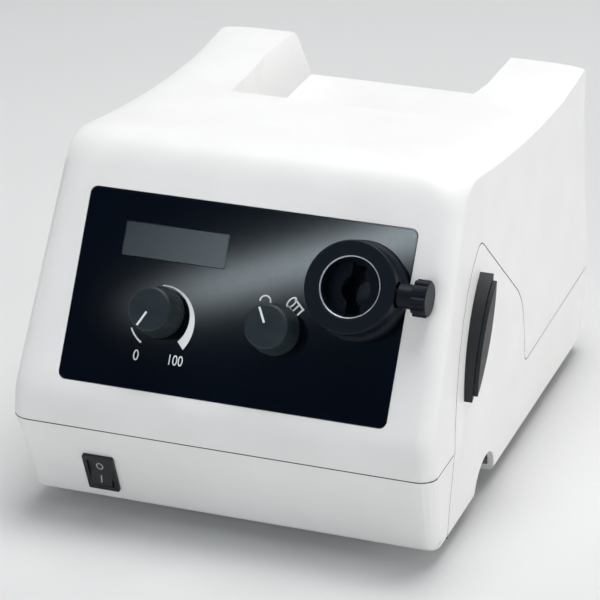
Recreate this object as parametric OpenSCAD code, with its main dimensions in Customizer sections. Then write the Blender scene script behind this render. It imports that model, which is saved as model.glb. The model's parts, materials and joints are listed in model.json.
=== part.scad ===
// Cold-light source: a halogen lamp in a moulded bench housing, with a round
// port in the leaning front panel for a fibre-optic light guide.
// X runs to the right, Y to the rear and Z up; the feet stand on z = 0.
// Places on the front panel are given as (x, s, d): s climbs the leaning face
// from the seam height, and d stands out from it.

/* [Body] */
// Width of the body at its seam
body_w = 200; // [190:1:212]
// Depth of the body from the nose to the rear wall
body_d = 258; // [252:1:276]
// Height of the body's underside above the table
foot_h = 7; // [5:0.5:10]
// Height of the front seam between housing and tray
seam_z = 49.9; // [48:0.1:52]
// Lean of the front face from the vertical
face_lean = 30.6; // [29:0.2:32]
// Distance from the nose back to the line of the front face at the seam
face_back = -8.9; // [-9.5:0.1:-8]
// Wall thickness of the moulded shells
wall = 3; // [2.6:0.1:3.4]
// Width of the seams between the shells
seam_gap = 0.5; // [0.3:0.1:0.8]
// Height of the floor of the carrying recess
saddle_z = 130; // [126:1:134]
// Half width of the recess floor
saddle_half = 48.5; // [40:0.5:52]
// Height of the horns at the rear
horn_z = 152.9; // [150:0.1:156]

/* [Front panel] */
// Distance of the glossy panel from each side of the body
panel_side = 22.9; // [21:0.1:25]
// Height of the glossy panel along the face
panel_h = 87.6; // [85:0.2:90]
// Thickness of the glossy panel
panel_t = 2; // [1.6:0.1:2.2]
// Height of the panel's lower edge along the face
panel_s = 25; // [24:0.2:27]
// Corner radius of the panel
panel_r = 3.5; // [2:0.5:6]
// Width of the display window
window_w = 49.4; // [40:0.2:52]
// Height of the display window
window_h = 15.6; // [12:0.2:18]
// Window centre to the left of the middle
window_x = 32.9; // [30:0.1:36]
// Window centre along the face
window_s = 91.4; // [88:0.2:94]
// Thickness of the sheet metal plate behind the panel
plate_t = 2; // [1.5:0.1:2.5]

/* [Knobs] */
// Height of both knob axes along the face
knob_s = 60.3; // [58:0.1:62]
// Intensity knob to the left of the middle
dial_x = 34; // [31:0.5:36]
// Diaphragm knob to the left of the port
iris_gap = 34.5; // [34:0.5:37]
// Radius of a knob's face
knob_r = 9.6; // [9:0.1:10.5]
// Radius of a knob's skirt
knob_skirt_r = 11.4; // [11:0.1:12.5]
// Height of a knob
knob_h = 15; // [12:0.5:18]
// Radius of the knob shafts
shaft_r = 3; // [2.5:0.1:3.2]
// Turn of the intensity pointer from upright, anticlockwise
dial_turn = 152; // [0:1:180]
// Turn of the diaphragm pointer from upright, anticlockwise
iris_turn = 27; // [0:1:60]

/* [Light guide port] */
// Port axis inwards from the right side
port_in = 45; // [43:0.5:47]
// Port axis along the face
port_s = 82.5; // [80:0.5:84]
// Outer radius of the port collar
port_r = 20.6; // [19:0.1:22]
// Radius of the light guide's seat
port_bore_r = 13; // [11:0.1:14]
// Length of the collar in front of the panel
port_len = 15; // [13:0.5:18]
// Depth of the light guide's seat
port_seat = 10; // [9.5:0.5:11]
// Radius of the round hole in the keyhole insert
key_r = 6.5; // [5:0.1:8]
// Width of the slot in the keyhole insert
key_w = 6.2; // [4:0.1:8]
// Radius of the openings in the diaphragm vane
vane_hole_r = 8; // [5:0.5:8.5]

/* [Clamp screw] */
// Radius of the clamp screw's head
clamp_head_r = 8.2; // [7:0.1:9]
// Length of the clamp screw's head
clamp_head_l = 6.4; // [5:0.1:8]
// Radius of the hub between head and shank
clamp_hub_r = 5.4; // [4.5:0.1:5.8]
// Length of the hub
clamp_hub_l = 7; // [6:0.1:9]
// Radius of the screw's shank
clamp_shank_r = 3; // [2.5:0.1:3.2]
// Height of the clamp screw's axis above the panel
clamp_d = 8.5; // [8:0.1:9]
// Travel of the clamp screw
clamp_travel = 4; // [3:0.5:4]

/* [Mains switch] */
// Switch centre to the left of the middle
switch_x = 60; // [55:0.5:65]
// Switch centre below the seam along the front apron
switch_t = 27.4; // [26:0.1:28]
// Width of the switch's flange
switch_w = 15; // [14:0.1:16]
// Height of the switch's flange
switch_h = 21.6; // [20:0.1:23]
// Angle of each half of the rocker
rocker_tilt = 8; // [6:0.5:9]

/* [Side cover] */
// Width of the side cover inwards from the right side
cover_w = 12; // [10:0.5:14]
// Rear of the cover's front seam at the underside
cover_y = 30; // [28:0.5:32]
// Height of the cover's peak
fin_z = 130; // [126:0.5:132]
// Height of the cover's long rear seam
cover_z = 44.6; // [42:0.1:47]
// Middle of the finger arch
arch_y = 85.5; // [80:0.5:90]
// Radius of the finger arch
arch_r = 15; // [12:0.5:16]
// Length of the leaf-shaped side grip
grip_l = 58; // [52:1:62]
// Width of the side grip at its middle
grip_w = 13; // [11:0.5:14]
// How far the side grip stands out
grip_out = 7; // [5:0.5:9]
// Middle of the side grip behind the nose
grip_mid_y = 62; // [60:0.5:66]
// Height of the side grip's middle
grip_mid_z = 93; // [90:0.5:96]

/* [Lamp and cooling] */
// Radius of the lamp's reflector
lamp_r = 25.3; // [24:0.1:25.5]
// Depth of the lamp's reflector
lamp_l = 38; // [34:0.5:40]
// Side of the square fan
fan_w = 70; // [66:1:72]
// Depth of the fan
fan_t = 20; // [15:1:25]
// Fan centre to the right of the middle
fan_x = 12; // [5:1:20]
// Height of the fan's centre
fan_z = 88; // [86:0.5:89]
// Width of the transformer core
core_w = 84; // [78:1:88]
// Height of the transformer core
core_h = 70; // [60:1:74]
// Depth of the transformer's stack of sheets
core_d = 42; // [34:1:46]
// Radius of a foot
foot_r = 9; // [7:0.5:11]

/* [Hidden] */

$fn = 48;
eps = 0.02;
far = 400;

// Body form
half_w = body_w / 2;
panel_w = body_w - 2 * panel_side;
port_x = half_w - port_in;
iris_x = port_x - iris_gap;
split_x = half_w - cover_w;
upper_draft = -0.05;
lower_draft = 0.056;
corner_steps = 4;
nose_s = 24;
ridge_s = 122;
apron_lean = 20.7;
rear_r = 8;

// Running and seating clearances
run_gap = 0.05;
fit_gap = 0.2;
seat_gap = 0.3;

// Depths behind the front face
rim_t = 1;
plate_d = -panel_t - rim_t - 0.1;
board_d = -16;
board_t = 1.6;
vane_d = -24;
vane_t = 1.5;
filter_d = -30;
carriage_d = -42;
carriage_t = 2;

// Port and screw
clamp_flat_x = 17.2;
pad_l = 2.7;
pad_x = port_bore_r + seat_gap;
hub_x = clamp_flat_x + clamp_travel;
head_x = hub_x + clamp_hub_l;

// The origin lies under the middle of the whole part
drawer_out = 2.6;
grip_tip = side_x(grip_mid_z) + grip_out;
shift_x = (half_w - grip_tip) / 2;
shift_y = -(body_d + drawer_out) / 2;

function face_y(s, d) = face_back + s * sin(face_lean) - d * cos(face_lean);
function face_z(s, d) = seam_z + s * cos(face_lean) + d * sin(face_lean);
function face(s) = [face_y(s, 0), face_z(s, 0)];
function mix(a, b, t) = a + (b - a) * t;
function bezier(p0, p1, p2, p3, t) =
    p0 * pow(1 - t, 3) + 3 * p1 * t * pow(1 - t, 2) + 3 * p2 * t * t * (1 - t) + p3 * pow(t, 3);

// A stretch of the side profile: points with the corner's half axes across and inwards
function stretch(p0, p1, p2, p3, c0, c1, n) =
    [for (i = [0 : n - 1]) concat(bezier(p0, p1, p2, p3, i / n), mix(c0, c1, i / n))];

function outline() = concat(
    stretch([0, seam_z], [0, seam_z + 7], face(nose_s - 8), face(nose_s), [9, 7], [9, 7], 5),
    stretch(face(nose_s), face(nose_s + 20), face(ridge_s - 20), face(ridge_s), [9, 7], [12, 7], 2),
    stretch(face(ridge_s), face(ridge_s + 15.5), [69, 169.3], [82, 167], [12, 7], [34, 6], 9),
    stretch([82, 167], [122, 160], [body_d - 93, 154.3], [horn_y, horn_z + 0.5], [34, 6], [34, 5], 8),
    stretch([horn_y, horn_z + 0.5], [body_d - 28, horn_z + 0.2], [body_d - 16, horn_z],
        [body_d - 5, horn_z], [34, 5], [30, 1.8], 4),
    stretch([body_d - 5, horn_z], [body_d - 2, horn_z], [body_d, horn_z - 2], [body_d, horn_z - 5.5],
        [30, 1.8], [10, 2], 4),
    stretch([body_d, horn_z - 5.5], [body_d, horn_z - 12], [body_d, horn_z - 16], [body_d, saddle_z],
        [10, 2], [8, 7], 2),
    stretch([body_d, saddle_z], [body_d, 90], [body_d, 50], [body_d, foot_h + rear_r], [8, 7], [8, 6], 1),
    stretch([body_d, foot_h + rear_r], [body_d, foot_h + rear_r / 2], [body_d - rear_r / 2, foot_h],
        [body_d - rear_r, foot_h], [8, 6], [3, 3], 4),
    stretch([body_d - rear_r, foot_h], [160, foot_h], [80, foot_h], [apron_y + 4.5, foot_h],
        [3, 3], [3, 3], 1),
    stretch([apron_y + 4.5, foot_h], [apron_y + 1.5, foot_h], [apron_y - 0.2, foot_h + 0.6],
        [apron_y - 1, foot_h + 2.7], [3, 3], [8, 6], 3),
    [[apron_y - 1, foot_h + 2.7, 8, 6]]);

apron_y = (seam_z - foot_h) * tan(apron_lean);
horn_y = body_d - 43;
form_outline = outline();

function outward(p, i) =
    let (n = len(p), a = p[(i + n - 1) % n], b = p[(i + 1) % n], t = [b[0] - a[0], b[1] - a[1]])
    [-t[1], t[0]] / norm(t);

// One ring of the body form: corner angle q from 0 on the crown to 90 on the side
function ring(p, inset, draft, q, side) = [for (i = [0 : len(p) - 1])
    let (
        m = outward(p, i),
        across = max(p[i][2] - inset, 0.6),
        inwards = max(p[i][3] - inset, 0.6),
        depth = inset + inwards * (1 - cos(q)),
        y = p[i][0] - m[0] * depth,
        z = p[i][1] - m[1] * depth
    )
    [side * (half_w - inset + draft * (z - seam_z) - across * (1 - sin(q))), y, z]];

// The moulded body: the side profile swept across, with its edges rounded
module body_form(inset, draft) {
    p = form_outline;
    n = len(p);
    quarter = [for (j = [0 : corner_steps]) j * 90 / corner_steps];
    rings = concat(
        [for (j = [corner_steps : -1 : 0]) ring(p, inset, draft, quarter[j], -1)],
        [for (j = [0 : corner_steps]) ring(p, inset, draft, quarter[j], 1)]);
    points = [for (r = rings) for (v = r) v];
    strips = [for (j = [0 : len(rings) - 2]) for (i = [0 : n - 1])
        let (a = j * n + i, b = j * n + (i + 1) % n, c = a + n, e = b + n)
        for (f = [[a, b, e], [a, e, c]]) f];
    caps = [[for (i = [n - 1 : -1 : 0]) i], [for (i = [0 : n - 1]) (len(rings) - 1) * n + i]];
    polyhedron(points, concat(strips, caps));
}

// Everything above or below a height
module above(z) translate([-far, -far, z]) cube([2 * far, 2 * far, far]);
module below(z) translate([-far, -far, z - far]) cube([2 * far, 2 * far, far]);

// Carries a piece to a place on the front face, with its own z axis along the outward normal
module on_face(x, s, d = 0) translate([x, face_y(s, d), face_z(s, d)]) rotate([90 - face_lean, 0, 0])
    children();

// Carries a piece to a place on the front apron, t below the seam
module on_apron(x, t) translate([x, t * sin(apron_lean), seam_z - t * cos(apron_lean)])
    rotate([90 + apron_lean, 0, 0]) children();

// Puts the finished piece in the part's frame
module placed() translate([shift_x, shift_y, 0]) children();

// A flat block on z = 0, with its corners rounded where r is set
module plate(w, h, t, r = 0) {
    if (r > 0) linear_extrude(height = t) rounded(w, h, r);
    else translate([-w / 2, -h / 2, 0]) cube([w, h, t]);
}

module rounded(w, h, r) {
    square([w, h - 2 * r], center = true);
    square([w - 2 * r, h], center = true);
    for (x = [-1, 1]) for (y = [-1, 1]) translate([x * (w / 2 - r), y * (h / 2 - r)]) circle(r = r);
}

// A straight tube or rod along z, with true round walls
module tube(r, bore, h) difference() {
    cylinder(r = r, h = h);
    translate([0, 0, -1]) cylinder(r = bore, h = h + 2);
}

// ---- Shells ----

// The recess between the horns, larger by a wall where grow is set
module saddle(grow) {
    slope = 0.383;
    top_z = 180;
    hull() {
        translate([-saddle_half - grow, body_d - 82 - grow, saddle_z - grow])
            cube([2 * (saddle_half + grow), far, eps]);
        linear_extrude_at(top_z) polygon([
            [-55.2 - grow, body_d - 120 - grow], [55.2 + grow, body_d - 120 - grow],
            [saddle_half + slope * (top_z - saddle_z) + grow, body_d],
            [saddle_half + slope * (top_z - saddle_z) + grow, far],
            [-saddle_half - slope * (top_z - saddle_z) - grow, far],
            [-saddle_half - slope * (top_z - saddle_z) - grow, body_d]]);
    }
}
module linear_extrude_at(z) translate([0, 0, z]) linear_extrude(height = eps) children();

// Outline of the right side cover in (y, z): a low strip with a fin that holds the grip
function fin_outline() = concat(
    [[cover_y, -5]],
    [for (i = [0 : 8]) bezier([cover_y, 28], [cover_y + 1, 75], [50, 118], [76, fin_z], i / 8)],
    [for (i = [1 : 4]) bezier([76, fin_z], [80, fin_z + 1.8], [83, fin_z - 1], [87, fin_z - 4.8], i / 4)],
    [for (i = [0 : 3]) bezier([133, 85], [139, 79.5], [141, 72], [141, 62], i / 3)],
    [for (i = [0 : 3])
        bezier([141, cover_z + 6], [141, cover_z + 2], [142.5, cover_z], [146, cover_z], i / 3)],
    [[body_d + 20, cover_z + 4.6], [body_d + 20, -5]]);

module cover_prism(grow) translate([split_x - grow, 0, 0]) rotate([90, 0, 90])
    linear_extrude(height = 40) offset(delta = grow) polygon(fin_outline());

// Screw post that hangs from the housing onto the tray
post_x = half_w - 18;
post_r = 4;
post_ys = [25, body_d - 18];
post_top = 66;
floor_z = foot_h + wall;
module housing_posts() for (side = [-1, 1]) for (y = post_ys) translate([side * post_x, y, floor_z]) {
    difference() {
        union() {
            cylinder(r = post_r, h = post_top - floor_z);
            translate([side > 0 ? 0 : -post_w, -1, seam_z + 4 - floor_z])
                cube([post_w, 2, post_top - seam_z - 4]);
        }
        translate([0, 0, -1]) cylinder(r = 1.25, h = 17);
    }
}
post_w = half_w - wall / 2 + upper_draft * (post_top - seam_z) - post_x;

grille_w = 78;
grille_h = 72;

// Behind the fin the side cover's seam dips below the main one, and the housing reaches down to it
reach_y = 130;
module side_reach(start_x) translate([start_x, reach_y, cover_z - 3])
    cube([40, far, seam_z + seam_gap / 2 + eps - cover_z + 3]);

module upper_housing() color("whitesmoke") placed() {
    difference() {
        intersection() {
            body_form(0, lower_draft);
            side_reach(split_x + seam_gap / 2);
        }
        body_form(wall, lower_draft);
        cover_prism(seam_gap / 2);
    }
    difference() {
        intersection() {
            body_form(0, upper_draft);
            above(seam_z + seam_gap / 2);
        }
        saddle(0);
        difference() {
            body_form(wall, upper_draft);
            saddle(wall);
        }
        cover_prism(seam_gap / 2);
        on_face(0, panel_s + panel_h / 2, -panel_t)
            plate(panel_w + 2 * fit_gap, panel_h + 2 * fit_gap, 10, panel_r);
        on_face(0, panel_s + panel_h / 2, -10) plate(panel_w - 7, panel_h - 7, 20, panel_r);
        translate([fan_x, body_d + 1, fan_z]) rotate([90, 0, 0]) {
            cylinder(r = fan_bore + 1, h = wall + 3);
            plate(grille_w + 2 * fit_gap, grille_h + 2 * fit_gap, 2.5, 3);
            fan_holes(wall + 3);
        }
    }
    housing_posts();
}

// The four screw holes of the fan, along z
module fan_holes(len) for (x = [-1, 1]) for (y = [-1, 1])
    translate([x * fan_pitch, y * fan_pitch, -1]) cylinder(r = 1.7, h = len + 2);
fan_pitch = fan_w / 2 - 4.5;

// Air slots under the lamp
module floor_slots() for (row = [0, 1]) for (i = [0 : 9])
    translate([-45 + 10 * i, 70 + 45 * row, foot_h - 1]) translate([-2, 0, 0]) cube([4, 34, wall + 2]);

inner_wall_x = split_x - 3;
inner_wall_t = 2;
inner_wall_drop = 14;
foot_xs = [26 - half_w, half_w - 26];
foot_ys = [46, body_d - 32];

module base_tray() color("whitesmoke") placed() {
    difference() {
        intersection() {
            body_form(0, lower_draft);
            below(seam_z - seam_gap / 2);
        }
        intersection() {
            body_form(wall, lower_draft);
            above(floor_z);
        }
        cover_prism(seam_gap / 2);
        side_reach(split_x - seam_gap / 2);
        on_apron(-switch_x, switch_t) translate([0, 0, -8]) plate(switch_w - 2, switch_h - 2, 12);
        translate([inlet_x, body_d + 1, inlet_z]) rotate([90, 0, 0])
            plate(inlet_w - 4, inlet_h - 4, wall + 3, 2);
        floor_slots();
        for (x = foot_xs) for (y = foot_ys) translate([x, y, foot_h - 1]) cylinder(r = 2.1, h = wall + 2);
        for (side = [-1, 1]) for (y = post_ys) translate([side * post_x, y, foot_h - 1]) {
            cylinder(r = 1.7, h = wall + 2);
            cylinder(r = 3.4, h = 2.6);
        }
    }
    translate([inner_wall_x, cover_y + 4, floor_z - eps])
        cube([inner_wall_t, foot_ys[1] - cover_y, seam_z - inner_wall_drop - floor_z]);
    for (p = board_pegs) translate([p[0], p[1], floor_z - eps]) cylinder(r = 3, h = power_z - floor_z);
}

module side_cover() color("whitesmoke") placed() difference() {
    cover_shell();
    translate([split_x - 5, arch_y, foot_h + 1]) rotate([0, 90, 0]) cylinder(r = arch_r, h = 30);
    for (k = [-1, 1]) on_side(grip_mid_y, grip_mid_z) translate([-8, 0, k * grip_l / 4])
        rotate([0, 90, 0]) cylinder(r = grip_pin_r + 0.1, h = 20);
}

// The cover's wall, with a rib inside that carries the lamp carriage
module cover_shell() {
    intersection() {
        union() {
            difference() {
                intersection() {
                    body_form(0, upper_draft);
                    above(seam_z);
                }
                body_form(wall, upper_draft);
            }
            difference() {
                intersection() {
                    body_form(0, lower_draft);
                    below(seam_z + eps);
                }
                body_form(wall, lower_draft);
            }
        }
        cover_prism(-seam_gap / 2);
    }
    on_face(tab_x + 1.2, port_s - 2, lamp_d) plate(2.4, tab_h, carriage_t);
}
tab_x = half_w - 6;
tab_h = 26;

// Carries a piece to the right side, with its own x outwards and its z along the face's lean
module on_side(y, z) translate([side_x(z), y, z]) rotate([-face_lean, 0, 0]) children();
function side_x(z) = half_w + upper_draft * (z - seam_z);

// Outline between two arcs that meet in points at both ends
module leaf(l, w) {
    arc_r = (l * l + w * w) / (4 * w);
    intersection() {
        translate([w / 2 - arc_r, 0]) circle(r = arc_r, $fn = 120);
        translate([arc_r - w / 2, 0]) circle(r = arc_r, $fn = 120);
    }
}
grip_step = 2;
grip_pin_r = 1.5;

// A leaf-shaped grip whose foot follows the draft of the side, with two pins into the cover
module side_grip() color("dimgray") placed() {
    difference() {
        on_side(grip_mid_y, grip_mid_z) rotate([90, 0, 90]) {
            translate([0, 0, -4]) linear_extrude(height = grip_out + 4 - grip_step) leaf(grip_l, grip_w);
            translate([0, 0, grip_out - grip_step - eps]) linear_extrude(height = grip_step + eps)
                leaf(grip_l - 6, grip_w - 2);
        }
        translate([side_x(seam_z), 0, seam_z]) rotate([0, atan(upper_draft), 0])
            translate([-far, -far, -far]) cube([far, 2 * far, 2 * far]);
    }
    on_side(grip_mid_y, grip_mid_z) for (k = [-1, 1]) translate([-6, 0, k * grip_l / 4])
        rotate([0, 90, 0]) cylinder(r = grip_pin_r, h = 8);
}

// ---- Front panel and what it carries ----

module front_panel() color("#0d1420") placed() difference() {
    on_face(0, panel_s + panel_h / 2, -panel_t) plate(panel_w, panel_h, panel_t, panel_r);
    on_face(-window_x, window_s, -panel_t - 1) plate(window_w, window_h, 5, 0.6);
    for (x = [-dial_x, iris_x]) on_face(x, knob_s, -panel_t - 1) cylinder(r = bush_r + fit_gap, h = 5);
    on_face(port_x, port_s, -panel_t - 1) cylinder(r = neck_r + fit_gap, h = 5);
}

module display_window() color("#4b5a55") placed()
    on_face(-window_x, window_s, -panel_t) plate(window_w - 2 * fit_gap, window_h - 2 * fit_gap, 1.7, 0.5);

module display_module() color("darkslategray") placed() {
    on_face(-window_x, window_s, -panel_t - 6) plate(window_w - 2, window_h - 1, 6);
    on_face(-window_x, window_s, board_d) plate(window_w - 12, 4, -panel_t - 6 - board_d);
}

spacer_pts = [[-70, 42], [-70, 104], [-8, 42], [-8, 104]];
holder_pts = [[port_x + 23, 62], [port_x + 23, 103], [port_x - 11, 110]];
module mounting_plate() color("silver") placed() difference() {
    on_face(4, panel_s + panel_h / 2 + 2, plate_d - plate_t)
        plate(panel_w + 5.8, panel_h - 1.6, plate_t, 2);
    on_face(-window_x, window_s, plate_d - 5) plate(window_w + 4, window_h + 4, 10);
    for (x = [-dial_x, iris_x]) on_face(x, knob_s, plate_d - 5) cylinder(r = bush_r + run_gap, h = 10);
    on_face(port_x, port_s, plate_d - 5) cylinder(r = neck_r + run_gap, h = 10);
}

bush_r = 4;
neck_r = 16;

module control_board() color("darkgreen") placed() {
    difference() {
        union() {
            on_face(-39, 73, board_d - board_t) plate(70, 70, board_t);
            for (p = spacer_pts) on_face(p[0], p[1], board_d - eps)
                cylinder(r = 3, h = plate_d - plate_t - board_d + eps);
        }
        for (p = spacer_pts) on_face(p[0], p[1], board_d - board_t - 1) cylinder(r = 1.25, h = 8);
    }
    on_face(-52, 60, board_d - board_t - 3.4) plate(8, 26, 3.4 + eps);
    on_face(-26, 84, board_d - board_t - 2.2) plate(18, 10, 2.2 + eps);
    for (k = [0 : 2]) on_face(-62 + 9 * k, 96, board_d - board_t - 4) cylinder(r = 3, h = 4 + eps);
}

// Fluted knob with a skirt; its pointer runs from the middle to the upper edge
module knob(turn) difference() {
    union() {
        cylinder(r = knob_skirt_r, h = 3);
        translate([0, 0, 3]) cylinder(r1 = knob_skirt_r - 0.4, r2 = knob_r + 0.4, h = knob_h - 4, $fn = 60);
        translate([0, 0, knob_h - 1]) cylinder(r1 = knob_r + 0.4, r2 = knob_r - 0.6, h = 1, $fn = 60);
    }
    for (k = [0 : 17]) rotate([0, 0, 20 * k]) translate([knob_skirt_r + 0.6, 0, 3.6])
        rotate([0, -4, 0]) cylinder(r = 1.3, h = knob_h);
    translate([0, 0, -1]) cylinder(r = shaft_r, h = knob_h - 2);
    translate([0, 0, -1]) cylinder(r = bush_nut_r + 1, h = 4.2);
    rotate([0, 0, turn]) translate([-0.5, 1.5, knob_h - 0.4]) cube([1, knob_r, 1]);
}
bush_nut_r = 5.4;
knob_lift = 0.6;

module intensity_knob() color("#23262b") placed() on_face(-dial_x, knob_s, knob_lift) knob(dial_turn);
module diaphragm_knob() color("#23262b") placed() on_face(iris_x, knob_s, knob_lift) knob(iris_turn);

shaft_top = knob_h - 3;
module intensity_shaft() color("silver") placed()
    on_face(-dial_x, knob_s, pot_d - 4) cylinder(r = shaft_r, h = shaft_top + knob_lift - pot_d + 4);

pot_d = plate_d - plate_t;
pot_r = 8;
pot_l = board_d - pot_d;
module potentiometer() color("steelblue") placed() difference() {
    union() {
        on_face(-dial_x, knob_s, board_d) cylinder(r = pot_r, h = -pot_l);
        on_face(-dial_x, knob_s, pot_d - eps) cylinder(r = bush_r, h = -pot_d + 2 + eps);
    }
    on_face(-dial_x, knob_s, pot_d - 4 - seat_gap) cylinder(r = shaft_r + run_gap, h = 30);
}

// Two nuts hold the bushes of both shafts against the panel, and a bush carries the diaphragm shaft
module shaft_nuts() color("goldenrod") placed() {
    on_face(-dial_x, knob_s, 0) difference() {
        cylinder(r = bush_nut_r, h = 2, $fn = 6);
        translate([0, 0, -1]) cylinder(r = bush_r, h = 4);
    }
    difference() {
        union() {
            on_face(iris_x, knob_s, pot_d - 6) cylinder(r = bush_r + 2.5, h = 6);
            on_face(iris_x, knob_s, pot_d - eps) cylinder(r = bush_r, h = -pot_d + 2 + eps);
            on_face(iris_x, knob_s, 0) cylinder(r = bush_nut_r, h = 2, $fn = 6);
        }
        on_face(iris_x, knob_s, pot_d - 8) cylinder(r = shaft_r + run_gap, h = 30);
    }
}

module diaphragm_shaft() color("silver") placed() {
    on_face(iris_x, knob_s, vane_d - 2) cylinder(r = shaft_r, h = shaft_top + knob_lift - vane_d + 2);
    on_face(iris_x, knob_s, vane_d + vane_t) cylinder(r = 6, h = pot_d - 6 - seat_gap - vane_d - vane_t);
}

// Vane with an open hole and a filter hole, one knob step apart
vane_arm = norm([port_x - iris_x, port_s - knob_s]);
vane_angle = atan2(port_s - knob_s, port_x - iris_x);
vane_step = 66;
module diaphragm_vane() color("darkgray") placed() on_face(iris_x, knob_s, vane_d) difference() {
    union() {
        cylinder(r = 8, h = vane_t);
        linear_extrude(height = vane_t) polygon(concat([[0, 0]],
            [for (q = [-16 : 7 : vane_step + 16]) [cos(vane_angle + q), sin(vane_angle + q)]
                * (vane_arm + vane_hole_r + 2.5)]));
    }
    translate([0, 0, -1]) cylinder(r = shaft_r, h = 4);
    for (k = [0, 1]) rotate([0, 0, vane_angle + k * vane_step]) translate([vane_arm, 0, -1])
        cylinder(r = vane_hole_r, h = 4);
}

module filter_glass() color("lightskyblue", 0.6) placed() on_face(iris_x, knob_s, vane_d)
    rotate([0, 0, vane_angle + vane_step]) translate([vane_arm, 0, 0])
    cylinder(r = vane_hole_r, h = vane_t);

module port_collar() color("#2b2f38") placed() on_face(port_x, port_s, 0) difference() {
    union() {
        translate([0, 0, neck_d]) cylinder(r = neck_r, h = -neck_d + 1);
        rotate_extrude() polygon([[0, 0], [port_r + 2, 0], [port_r + 1.6, 3], [port_r, 5],
            [port_r, port_len - 0.6], [port_r - 0.6, port_len], [0, port_len]]);
    }
    translate([0, 0, port_len - port_seat]) cylinder(r = port_bore_r, h = far);
    translate([0, 0, port_len - 1])
        cylinder(r1 = port_bore_r, r2 = port_bore_r + 1.2, h = 1 + eps, $fn = 60);
    translate([0, 0, insert_d]) cylinder(r = port_bore_r - 0.2, h = far);
    translate([0, 0, neck_d - 1]) cylinder(r = port_bore_r - 2, h = far);
    translate([clamp_flat_x, 0, clamp_d]) rotate([0, 90, 0]) cylinder(r = clamp_hub_r + seat_gap, h = 10);
    translate([0, 0, clamp_d]) rotate([0, 90, 0]) cylinder(r = clamp_shank_r + run_gap, h = 30);
}
neck_d = -14;
insert_t = 2.5;
insert_d = port_len - port_seat - insert_t;

module port_insert() color("#3a3f4a") placed() on_face(port_x, port_s, insert_d) difference() {
    cylinder(r = port_bore_r - 0.2 - run_gap, h = insert_t);
    translate([0, 0, -1]) cylinder(r = key_r, h = 5);
    translate([-key_w / 2, -port_bore_r + 1, -1]) cube([key_w, 2 * port_bore_r - 2, 5]);
}

module port_nut() color("dimgray") placed() on_face(port_x, port_s, pot_d - 5) difference() {
    cylinder(r = neck_r + 4.5, h = 5, $fn = 6);
    translate([0, 0, -1]) cylinder(r = neck_r + run_gap, h = 7);
}

// The clamp screw runs along x through the collar's side wall
module clamp_screw() color("#23262b") placed()
    on_face(port_x, port_s, clamp_d) rotate([0, 90, 0]) difference() {
    union() {
        translate([0, 0, pad_x + pad_l]) cylinder(r = clamp_shank_r, h = hub_x + 1 - pad_x - pad_l);
        translate([0, 0, hub_x]) cylinder(r = clamp_hub_r, h = clamp_hub_l + eps);
        translate([0, 0, head_x]) cylinder(r = clamp_head_r, h = clamp_head_l - 0.8);
        translate([0, 0, head_x + clamp_head_l - 0.8])
            cylinder(r1 = clamp_head_r, r2 = clamp_head_r - 0.8, h = 0.8, $fn = 60);
    }
    for (k = [0 : 9]) rotate([0, 0, 36 * k]) translate([clamp_head_r + 1, 0, head_x - 1])
        cylinder(r = 1.9, h = clamp_head_l + 2);
}

module clamp_pad() color("ivory") placed() on_face(port_x, port_s, clamp_d) rotate([0, 90, 0])
    translate([0, 0, pad_x]) cylinder(r = clamp_shank_r - 0.2, h = pad_l);

// ---- Mains switch on the apron ----

// Flanged frame with the rocker's pivot pin across it
module switch_bezel() color("#2a2c30") placed() on_apron(-switch_x, switch_t) {
    difference() {
        union() {
            plate(switch_w, switch_h, 1.6, 1);
            translate([0, 0, -bezel_depth]) plate(switch_w - 2.4, switch_h - 2.4, bezel_depth + eps);
        }
        translate([0, 0, -bezel_depth - 1]) plate(switch_w - 4, switch_h - 5, bezel_depth + 6, 0.5);
    }
    translate([-(switch_w - 3) / 2, 0, pivot_d]) rotate([0, 90, 0]) cylinder(r = pivot_r, h = switch_w - 3);
}
bezel_depth = 6;
pivot_d = -1;

module switch_rocker() color("#1c1d20") placed() on_apron(-switch_x, switch_t) translate([0, 0, pivot_d])
    rotate([-rocker_tilt, 0, 0]) rotate([90, 0, 90]) translate([0, 0, -(switch_w - 4.6) / 2])
    linear_extrude(height = switch_w - 4.6) rocker_side();

// Side view of the rocker: two faces that meet in a shallow valley over the pivot
module rocker_side() {
    reach = (switch_h - 7.4) / 2;
    difference() {
        polygon([[-reach, -1.5], [0, -4], [reach, -1.5], [reach, reach * tan(rocker_tilt) + 1.8],
            [0, 1.8], [-reach, reach * tan(rocker_tilt) + 1.8]]);
        circle(r = pivot_r + run_gap);
    }
}
pivot_r = 1;

module switch_body() color("#2a2c30") placed() on_apron(-switch_x, switch_t) {
    translate([0, 0, -bezel_depth - 10]) plate(switch_w - 2.4, switch_h - 2.4, 10, 0.5);
    for (k = [-1, 0, 1]) translate([-2.4, 6.5 * k - 0.4, -bezel_depth - 17]) cube([4.8, 0.8, 7.2]);
}

// ---- Optics ----

module heat_filter() color("paleturquoise", 0.5) placed() on_face(port_x, port_s, filter_d)
    cylinder(r = 15, h = 3);

module filter_holder() color("silver") placed() {
    difference() {
        on_face(port_x + 2, port_s + 5.5, filter_d - 2) plate(56, 62, 2, 3);
        on_face(port_x, port_s, filter_d - 5) cylinder(r = 12, h = 10);
    }
    for (p = holder_pts) on_face(p[0], p[1], filter_d - eps) cylinder(r = 2.5, h = pot_d - filter_d + eps);
    for (q = [30, 150, 270]) on_face(port_x, port_s, filter_d) rotate([0, 0, q]) translate([16.3, -2, -eps])
        cube([1.2, 4, 3]);
}

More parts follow.
